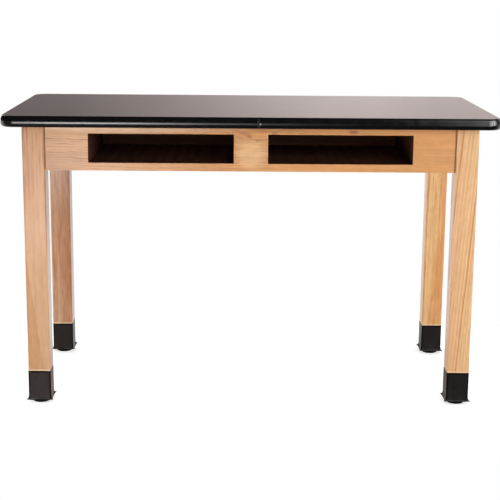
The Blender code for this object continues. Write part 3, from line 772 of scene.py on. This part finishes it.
def screw_head(tree, given):
    """A domed head, flat below."""
    inputs = {
        "Vertices": 20, "Side Segments": 1, "Fill Segments": 4, "Radius": given["Radius"],
        "Depth": given["Dome"],
    }
    head = result("GeometryNodeMeshCylinder", inputs)
    x, y, z = point_axes(tree)
    out = maths("DIVIDE", vector_maths("LENGTH", combined(x, y)), given["Radius"])
    crown = maths("SQRT", minus(1.04, times(out, out)))
    top = times(given["Dome"], crown)
    upper = maths("GREATER_THAN", z, 0.0)
    domed = combined(x, y, times(top, upper))
    return result("GeometryNodeSetPosition", {"Geometry": head, "Position": domed})


def cross_recess(given, head):
    """The head with two slots cut across each other."""
    for width, length in (("Recess Width", "Recess Length"), ("Recess Length", "Recess Width")):
        size = combined(given[width], given[length], given["Recess Depth"])
        slot = result("GeometryNodeMeshCube", {"Size": size})
        inputs = {"Geometry": slot, "Translation": combined(z=given["Dome"])}
        inputs = {"Mesh 1": head, "Mesh 2": result("GeometryNodeTransform", inputs)}
        head = result("GeometryNodeMeshBoolean", inputs, operation="DIFFERENCE")
    return head


def make_screw_tree():
    """A round screw head with a cross recess on each point of a mesh, standing the way the point faces."""
    sizes = {
        "Radius": SCREW_RADIUS, "Dome": SCREW_DOME, "Recess Width": RECESS_WIDTH,
        "Recess Length": RECESS_LENGTH, "Recess Depth": RECESS_DEPTH, "Seed": 7,
    }
    tree, given = new_tree("cross_screws", sizes)
    head = cross_recess(given, screw_head(tree, given))
    facing = result("GeometryNodeInputNamedAttribute", {"Name": "facing"}, tree, data_type="FLOAT_VECTOR")
    standing = result("FunctionNodeAlignRotationToVector", {"Vector": facing}, axis="Z")
    inputs = {2: 0.0, 3: 2 * pi, "Seed": given["Seed"]}
    chance = add_node("FunctionNodeRandomValue", inputs, data_type="FLOAT").outputs[1]
    inputs = {"Rotation": standing, "Rotate By": combined(z=chance)}
    turned = result("FunctionNodeRotateRotation", inputs, rotation_space="LOCAL")
    inputs = {"Points": given["Geometry"], "Instance": head, "Rotation": turned}
    end_tree(given, result("GeometryNodeInstanceOnPoints", inputs))
    return tree


def grow(name, mesh, tree, material, sizes=None):
    """The plain mesh that a geometry tree makes from a mesh."""
    seed = add_object(name + "_seed", mesh)
    modifier = seed.modifiers.new(tree.name, "NODES")
    modifier.node_group = tree
    values = {**(sizes or {}), "Material": material}
    for item in tree.interface.items_tree:
        if item.item_type == "SOCKET" and item.in_out == "INPUT" and item.name in values:
            modifier[item.identifier] = values[item.name]
    evaluated = seed.evaluated_get(bpy.context.evaluated_depsgraph_get())
    made = bpy.data.meshes.new_from_object(evaluated)
    made.name = name
    bpy.data.objects.remove(seed)
    return made


# Meshes


def add_piece(name, mesh, body):
    piece = add_object(name, mesh)
    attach(piece, body)
    return piece


def soften(mesh, degrees=32):
    """Shades a mesh smooth, but for edges sharper than that."""
    mesh.shade_smooth()
    mesh.set_sharp_from_angle(angle=radians(degrees))
    return mesh


def loft(name, rings):
    """A closed mesh through rings of places, each ring with as many places as the first."""
    builder = bmesh.new()
    loops = [[builder.verts.new(spot) for spot in ring] for ring in rings]
    for lower, upper in zip(loops, loops[1:]):
        for i in range(len(lower)):
            j = (i + 1) % len(lower)
            builder.faces.new((lower[i], lower[j], upper[j], upper[i]))
    builder.faces.new(loops[0])
    builder.faces.new(loops[-1])
    bmesh.ops.recalc_face_normals(builder, faces=builder.faces)
    mesh = bpy.data.meshes.new(name)
    builder.to_mesh(mesh)
    builder.free()
    return mesh


# Edge band


def band_section(low, high):
    """Distance out from the board and height of each point of the band's section, nose first."""
    centre = (low.z + high.z) / 2
    half = (high.z - low.z) / 2
    tongue = low.z + CORE_BOTTOM_RISE + CORE_THICKNESS / 2
    points = []
    for i in range(BAND_NOSE_STEPS + 1):
        angle = pi / 2 - pi * i / BAND_NOSE_STEPS
        out = FIT_GAP + BAND_LIP + (BAND_BULGE - BAND_LIP) * cos(angle)
        points.append((out, centre + half * sin(angle)))
    points += [(FIT_GAP, low.z), (FIT_GAP, tongue - TONGUE_HALF), (-TONGUE_DEPTH, tongue - TONGUE_HALF)]
    points += [(-TONGUE_DEPTH, tongue + TONGUE_HALF), (FIT_GAP, tongue + TONGUE_HALF), (FIT_GAP, high.z)]
    return points


def band_stations(high):
    """Places round the board's edge, from one side of the joint to the other, each with its way outward."""
    edge = BAND_BULGE + FIT_GAP + BAND_CORNER_RADIUS
    reach_x, reach_y = high.x - edge, high.y - edge
    front = -reach_y - BAND_CORNER_RADIUS
    shares = [i / BAND_DRAWN_STEPS for i in range(BAND_DRAWN_STEPS + 1)]
    steps = [BAND_JOINT_HALF_GAP + BAND_DRAWN_LENGTH * share ** 1.5 for share in shares]
    stations = [((BAND_JOINT_X + step, front), (0, -1)) for step in steps]
    for turn, (sx, sy) in enumerate(((1, -1), (1, 1), (-1, 1), (-1, -1))):
        for i in range(BAND_CORNER_STEPS + 1):
            angle = pi / 2 * (turn - 1 + i / BAND_CORNER_STEPS)
            out = (cos(angle), sin(angle))
            spot = (sx * reach_x + BAND_CORNER_RADIUS * out[0], sy * reach_y + BAND_CORNER_RADIUS * out[1])
            stations.append((spot, out))
    stations += [((BAND_JOINT_X - step, front), (0, -1)) for step in reversed(steps)]
    return stations


def drawn_in(x, out_y):
    """How far the band's right end is drawn in towards the board, most at the joint."""
    if out_y != -1 or x < BAND_JOINT_X:
        return 0.0
    return BAND_DRAWN_IN * max(0.0, 1.0 - (x - BAND_JOINT_X) / BAND_DRAWN_LENGTH) ** 2


def make_edge_band(material):
    """The band as one moulded strip round the top, whose right end draws in at the joint."""
    low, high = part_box("edge_band")
    section = band_section(low, high)
    rings = []
    for (x, y), (out_x, out_y) in band_stations(high):
        drawn = drawn_in(x, out_y)
        ring = []
        for out, height in section:
            reach = out - drawn * max(0.0, out / BAND_BULGE)
            ring.append((x + out_x * reach, y + out_y * reach, height))
        rings.append(ring)
    mesh = loft("moulded_band", rings)
    mesh.materials.append(material)
    piece = add_piece("moulded_band", soften(mesh, 40), "table")
    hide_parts("edge_band")


# Stems, bolts and screws


def lathe(rings, sides):
    """A closed turned shape. Each ring is a radius and a height, and says so if it is a hexagon."""
    loops = []
    for radius, height, *hexagon in rings:
        loop = []
        for i in range(sides):
            angle = 2 * pi * i / sides
            reach = radius
            if hexagon:
                from_flat = (angle + pi / 6) % (pi / 3) - pi / 6
                reach = radius / cos(from_flat)
            loop.append((reach * cos(angle), reach * sin(angle), height))
        loops.append(loop)
    return loft("lathe", loops)


def make_stems(thread, zinc):
    """Swaged head, neck, chamfered hexagon collar and threaded shank, in place of the plain stems."""
    low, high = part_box("glide_stem_front_left")
    head_top = low.z + STEM_HEAD_THICKNESS
    rings = (
        (STEM_HEAD_RADIUS * 0.86, low.z),
        (STEM_HEAD_RADIUS, low.z + 0.0005),
        (STEM_HEAD_RADIUS, head_top - 0.0005),
        (STEM_HEAD_RADIUS * 0.86, head_top),
        (STEM_NECK_RADIUS, head_top + 0.0004),
        (STEM_NECK_RADIUS, COLLAR_BOTTOM),
        (COLLAR_FLAT_HALF * 0.92, COLLAR_BOTTOM),
        (COLLAR_FLAT_HALF, COLLAR_BOTTOM + COLLAR_CHAMFER, "hexagon"),
        (COLLAR_FLAT_HALF, COLLAR_TOP - COLLAR_CHAMFER, "hexagon"),
        (COLLAR_FLAT_HALF * 0.92, COLLAR_TOP),
    )
    bottom = COLLAR_TOP - STEM_OVERLAP
    sizes = {"Length": high.z - bottom, "Bottom": bottom}
    stem = soften(grow("stem", lathe(rings, 36), thread, zinc, sizes))
    for corner, _, _ in CORNERS:
        middle = middle_of("glide_stem_" + corner)
        mesh = stem.copy()
        mesh.transform(Matrix.Translation((middle.x, middle.y, 0)))
        piece = add_piece("threaded_stem_" + corner, mesh, "stem_" + corner)
        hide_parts("glide_stem_" + corner)


def make_bolts(thread, zinc):
    """Hanger bolts: a plain shank in the leg and a machine thread for the nut."""
    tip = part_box("hanger_bolt_front_left")[1]
    leg = middle_of("leg_front_left")
    end = ((tip.x - leg.x) + (tip.y - leg.y)) / sqrt(2) - BOLT_RADIUS * 0.75
    leg_edge = (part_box("leg_front_left")[1].x - leg.x) * sqrt(2)
    start = leg_edge - BOLT_IN_LEG - BOLT_PILOT_CLEARANCE
    shoulder = leg_edge - BOLT_SHOULDER_INSET
    rings = (
        (BOLT_RADIUS * 0.9, start),
        (BOLT_RADIUS, start + 0.001),
        (BOLT_RADIUS, shoulder),
        (BOLT_RADIUS * 0.9, shoulder + 0.0006),
    )
    sizes = {
        "Length": end - shoulder, "Bottom": shoulder, "Radius": BOLT_RADIUS, "Pitch": BOLT_PITCH,
        "Depth": BOLT_THREAD_DEPTH, "Rows": 150,
    }
    bolt = soften(grow("bolt", lathe(rings, 28), thread, zinc, sizes))
    along_x = Matrix.Rotation(pi / 2, 4, "Y")
    for corner, sx, sy in CORNERS:
        centre = middle_of("leg_" + corner)
        centre.z = middle_of("hanger_bolt_" + corner).z
        mesh = bolt.copy()
        mesh.transform(Matrix.Translation(centre) @ Matrix.Rotation(atan2(-sy, -sx), 4, "Z") @ along_x)
        piece = add_piece("threaded_bolt_" + corner, mesh, "table")
        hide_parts("hanger_bolt_" + corner)


def point_mesh(name, spots):
    """A mesh of loose points, each with the direction that its screw faces."""
    mesh = bpy.data.meshes.new(name)
    mesh.from_pydata([spot for spot, _ in spots], [], [])
    facing = mesh.attributes.new("facing", "FLOAT_VECTOR", "POINT")
    for item, (spot, direction) in zip(facing.data, spots):
        item.vector = direction
    return mesh


def evenly(low, high, count, margin):
    """Places spread evenly between two ends, with a margin at each."""
    first, last = low + margin, high - margin
    return [first + (last - first) * i / (count - 1) for i in range(count)]


def brace_screw_spots():
    """Two screws in each tab of each corner brace."""
    spots = []
    proud = FIT_GAP + BRACE_SHEET
    back = BRACE_SHEET + BRACE_TAB / 2
    for corner, sx, sy in CORNERS:
        brace = "brace_" + corner
        end, side = corner.split("_")
        middle = middle_of(brace).z
        hook_x = corner_of(brace, -sx).x
        hook_y = corner_of(brace, -sy).y
        wall_x = corner_of(side + "_apron", -sx).x
        wall_y = corner_of(end + "_apron", -sy).y
        for rise in (-BRACE_SCREW_RISE, BRACE_SCREW_RISE):
            spots.append(((hook_x + sx * back, wall_y - sy * proud, middle + rise), (0, -sy, 0)))
            spots.append(((wall_x - sx * proud, hook_y + sy * back, middle + rise), (-sx, 0, 0)))
    return spots


def cleat_screw_spots(nodes):
    """Screws up through the cleats into the top, and across them into the aprons."""
    spots = []
    for name in sorted(name for name in nodes if "cleat" in name):
        low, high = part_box(name)
        middle = (low + high) / 2
        for y in evenly(low.y, high.y, 3, SCREW_MARGIN):
            spots.append(((middle.x, y, low.z), (0, 0, -1)))
        if name.startswith("top_cleat"):
            side = 1 if middle.x < 0 else -1
            face = corner_of(name, side).x
            for y in evenly(low.y, high.y, 3, APRON_SCREW_MARGIN):
                spots.append(((face, y, middle.z), (side, 0, 0)))
    return spots


def compartment_screw_spots():
    """Screws through the sides into the floor, and through the back into the sides and the floor."""
    spots = []
    for side, _ in SIDES:
        name = "compartment_" + side
        height = middle_of(name + "_floor").z
        for end, sign in SIDES:
            low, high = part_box(name + "_side_" + end)
            face = low.x if sign < 0 else high.x
            for y in evenly(low.y, high.y, 4, SCREW_MARGIN):
                spots.append(((face, y, height), (sign, 0, 0)))
        low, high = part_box(name + "_back")
        for x in evenly(low.x, high.x, 4, SCREW_MARGIN):
            spots.append(((x, high.y, height), (0, 1, 0)))
        for x in (low.x + BACK_SCREW_INSET, high.x - BACK_SCREW_INSET):
            spots.append(((x, high.y, high.z - BACK_SCREW_DROP), (0, 1, 0)))
    return spots


def make_screws(nodes, tree, zinc):
    sets = (
        ("brace_screws", brace_screw_spots(), {}),
        ("cleat_screws", cleat_screw_spots(nodes), {"Radius": 0.0038, "Dome": 0.0018, "Seed": 11}),
        ("compartment_screws", compartment_screw_spots(), {
            "Radius": 0.0030, "Dome": 0.0012, "Recess Width": 0.0008, "Recess Length": 0.0034,
            "Recess Depth": 0.0012, "Seed": 23}),
    )
    for name, spots, sizes in sets:
        mesh = grow(name, point_mesh(name + "_points", spots), tree, zinc, sizes)
        add_piece(name, soften(mesh, 40), "table")


# Studio

WHITE = (1.0, 1.0, 1.0, 1.0)
PAPER = (0.78, 0.78, 0.78, 1.0)
PAPER_LIFT = 0.63


def bare_material(name):
    """A material without any node, and its node tree."""
    material = bpy.data.materials.new(name)
    material.use_nodes = True
    material.node_tree.nodes.clear()
    return material, material.node_tree


def emission(colour, strength, tree=None):
    return result("ShaderNodeEmission", {"Color": colour, "Strength": strength}, tree)


def add_plane(name, corners, material, **visible):
    mesh = bpy.data.meshes.new(name)
    mesh.from_pydata(corners, [], [range(len(corners))])
    mesh.materials.append(material)
    plane = add_object(name, mesh)
    for key, value in visible.items():
        setattr(plane, "visible_" + key, value)
    return plane


def seen_paper(tree, position, from_camera):
    """Paper that keeps a faint shadow of the table, and is plain white a little way off."""
    paper = result("ShaderNodeBsdfDiffuse", {"Color": PAPER}, tree)
    lift = emission(WHITE, times(from_camera, PAPER_LIFT))
    near = result("ShaderNodeAddShader", {0: paper, 1: lift})
    off = spread(vector_maths("LENGTH", stretched(position, 0.8, 1.3, 0)), 0.6, 1.0)
    off = times(off, from_camera)
    return result("ShaderNodeMixShader", {0: off, 1: near, 2: emission(WHITE, 1.0, tree)})


def mirrored_paper(position):
    """What glossy pieces see of the floor: dim in front, bright behind and at the left, warm close by."""
    x, y, _ = axes(position)
    sideways = spread(x, -0.6, 0.6, 1.0, 0.67)
    front = spread(x, -0.6, 0.0, 0.12, 0.035)
    under = spread(y, -0.45, -0.2, front, 0.80)
    behind = plus(under, spread(y, 0.1, 0.6, 0.0, 0.36))
    tint = mix(spread(y, 0.0, 0.45), (1.02, 0.84, 0.78, 1.0), WHITE)
    return emission(tint, times(sideways, behind))


def make_floor():
    """White paper, seen in one way by the camera and mirrored in another by what is glossy."""
    material, tree = bare_material("white_paper")
    path = add_node("ShaderNodeLightPath", tree=tree).outputs
    position = place(tree)
    seen = seen_paper(tree, position, path["Is Camera Ray"])
    inputs = {0: path["Is Glossy Ray"], 1: seen, 2: mirrored_paper(position)}
    add_node("ShaderNodeOutputMaterial", {0: result("ShaderNodeMixShader", inputs)})
    add_plane("paper_floor", [(-9, -7, 0), (9, -7, 0), (9, 12, 0), (-9, 12, 0)], material)


def make_glow(name, stops, fade, tints):
    """A lit cloth whose brightness changes along X, by stops of places and strengths, and fades with height.

    Its tints are those at the two heights of the fade.
    """
    material, tree = bare_material(name)
    x, _, z = axes(place(tree))
    strength = stops[0][1]
    for (start, low), (end, high) in zip(stops, stops[1:]):
        strength = plus(strength, spread(x, start, end, 0.0, high - low, "LINEAR"))
    strength = times(strength, spread(z, *fade))
    tint = mix(spread(z, *fade[:2]), *tints)
    add_node("ShaderNodeOutputMaterial", {0: emission(tint, strength)})
    return material


def upright(start, end, low, high):
    """The corners of a cloth that hangs over the line from start to end."""
    return [(*start, low), (*end, low), (*end, high), (*start, high)]


def add_screen(name, corners, stops, fade=(0.0, 1.0, 1.0, 1.0), tints=(WHITE, WHITE)):
    """A lit cloth that only glossy surfaces mirror.

    Its fade is two heights and the share of its light at each.
    """
    cloth = make_glow(name + "_cloth", stops, fade, tints)
    return add_plane(name, corners, cloth, camera=False, shadow=False, diffuse=False)


def spare_laminate(laminate, screens):
    """Keeps the bright cloths beside the table off the laminate, which would turn white from behind."""
    spared = bpy.data.collections.new("spared_by_screens")
    spared.objects.link(laminate)
    spared.collection_objects[0].light_linking.link_state = "EXCLUDE"
    for screen in screens:
        screen.light_linking.receiver_collection = spared


def make_screens(laminate):
    """A backdrop, a low screen at the front left, and four screens round the right end."""
    add_screen(
        "backdrop", upright((-3.2, 3.2), (3.2, 3.2), 0.25, 3.2),
        ((-2.8, 3.6), (-2.0, 2.6), (-1.6, 0.26), (-0.9, 0.33), (-0.45, 0.52), (-0.16, 0.69), (0.13, 0.90),
         (0.42, 1.08), (0.72, 1.12), (1.0, 0.99)),
        fade=(0.96, 1.24, 1.18, 0.78), tints=((1.13, 1.02, 1.04, 1.0), (1.20, 1.0, 0.94, 1.0)))
    low = add_screen(
        "low_screen", upright((-1.25, -1.72), (0.5, -1.72), 0.12, 0.55),
        ((-1.25, 0.2), (-0.95, 3.0), (-0.80, 6.4), (-0.66, 7.0), (-0.44, 5.0), (-0.16, 1.3), (0.02, 0.75),
         (0.20, 0.3), (0.5, 0.01)),
        fade=(0.10, 0.20, 0.6, 1.0))
    right = add_screen(
        "right_screen", upright((0.60, -2.3), (2.4, -2.3), 0.0, 2.6),
        ((0.62, 0.0), (0.84, 0.16), (0.96, 0.50), (1.05, 1.0), (1.54, 3.4), (2.2, 6.4), (2.4, 7.0)))
    side = add_screen(
        "side_screen", upright((2.4, -2.0), (3.0, -0.45), 0.3, 2.6),
        ((2.4, 7.0), (2.6, 6.2), (2.75, 2.4), (2.9, 0.6)))
    add_screen("rear_side_screen", upright((3.0, 0.2), (2.6, 2.6), 0.2, 2.6), ((2.6, 0.6), (3.0, 0.5)))
    add_screen(
        "right_canopy", [(0.75, -2.3, 2.6), (3.2, -2.3, 2.6), (3.2, 0.2, 3.0), (0.75, 0.2, 3.0)],
        ((0.75, 0.06), (1.1, 0.4)))
    spare_laminate(laminate, (low, right, side))


def add_lamp(name, spot, target, size, power):
    """A soft lamp that neither the camera nor a glossy surface sees."""
    light = bpy.data.lights.new(name, "AREA")
    light.shape = "RECTANGLE"
    light.size, light.size_y = size
    light.energy = power
    lamp = add_object(name, light)
    lamp.location = spot
    lamp.rotation_euler = (Vector(target) - Vector(spot)).to_track_quat("-Z", "Y").to_euler()
    lamp.visible_camera = False
    lamp.visible_glossy = False


def make_lamps():
    add_lamp("key", (1.2, -3.4, 1.85), (0.05, 0, 0.45), (1.8, 1.2), 28)
    add_lamp("low_left", (-0.9, -1.9, 0.35), (-0.3, 0, 0.55), (0.8, 0.4), 10)
    add_lamp("overhead", (0.0, -0.2, 3.2), (0, 0, 0), (3.0, 2.4), 60)
    add_lamp("right_side", (2.5, -1.4, 1.0), (0.3, 0.1, 0.4), (1.2, 0.9), 20)
    add_lamp("left_side", (-2.6, -0.3, 0.45), (0.3, 0, 0.4), (1.2, 0.7), 20)
    add_lamp("back_fill", (-1.2, 3.0, 1.8), (0, 0, 0.5), (2.0, 2.0), 30)


def make_world():
    """White for the camera, dim for what is glossy, and a soft grey light for the rest."""
    world = bpy.data.worlds.new("studio")
    bpy.context.scene.world = world
    world.use_nodes = True
    tree = world.node_tree
    path = add_node("ShaderNodeLightPath", tree=tree).outputs
    dim = mix(path["Is Glossy Ray"], (0.28, 0.28, 0.29, 1.0), (0.02, 0.02, 0.02, 1.0))
    seen = larger(path["Is Camera Ray"], path["Is Transmission Ray"])
    tree.links.new(mix(seen, dim, WHITE), tree.nodes["Background"].inputs["Color"])


def make_camera():
    data = bpy.data.cameras.new("camera")
    data.sensor_width = SENSOR_MM
    data.lens = FOCAL_PIXELS / FRAME_PIXELS * SENSOR_MM
    camera = add_object("camera", data)
    yaw = Matrix.Rotation(CAMERA_YAW, 4, "Z")
    dip = Matrix.Rotation(pi / 2 - CAMERA_DIP, 4, "X")
    roll = Matrix.Rotation(CAMERA_ROLL, 4, "Z")
    camera.matrix_world = Matrix.Translation(CAMERA_PLACE) @ yaw @ dip @ roll
    bpy.context.scene.camera = camera


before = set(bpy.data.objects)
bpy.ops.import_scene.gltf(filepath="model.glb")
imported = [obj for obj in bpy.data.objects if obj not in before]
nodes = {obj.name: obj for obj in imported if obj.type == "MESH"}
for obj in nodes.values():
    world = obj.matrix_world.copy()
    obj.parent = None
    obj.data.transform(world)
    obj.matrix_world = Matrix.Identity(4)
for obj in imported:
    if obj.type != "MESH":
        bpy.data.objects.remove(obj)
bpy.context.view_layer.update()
finishes = make_finishes()
dress_nodes(nodes, finishes)
make_leg_woods(nodes)
make_apron_woods(nodes)
make_cleat_wood(nodes)
thread = make_thread_tree()
make_stems(thread, finishes["zinc"])
make_bolts(thread, finishes["zinc"])
make_screws(nodes, make_screw_tree(), finishes["zinc"])
make_edge_band(finishes["band"])
make_floor()
make_screens(nodes["top_laminate"])
make_lamps()
make_world()
make_camera()
bpy.context.scene.view_settings.view_transform = "Standard"
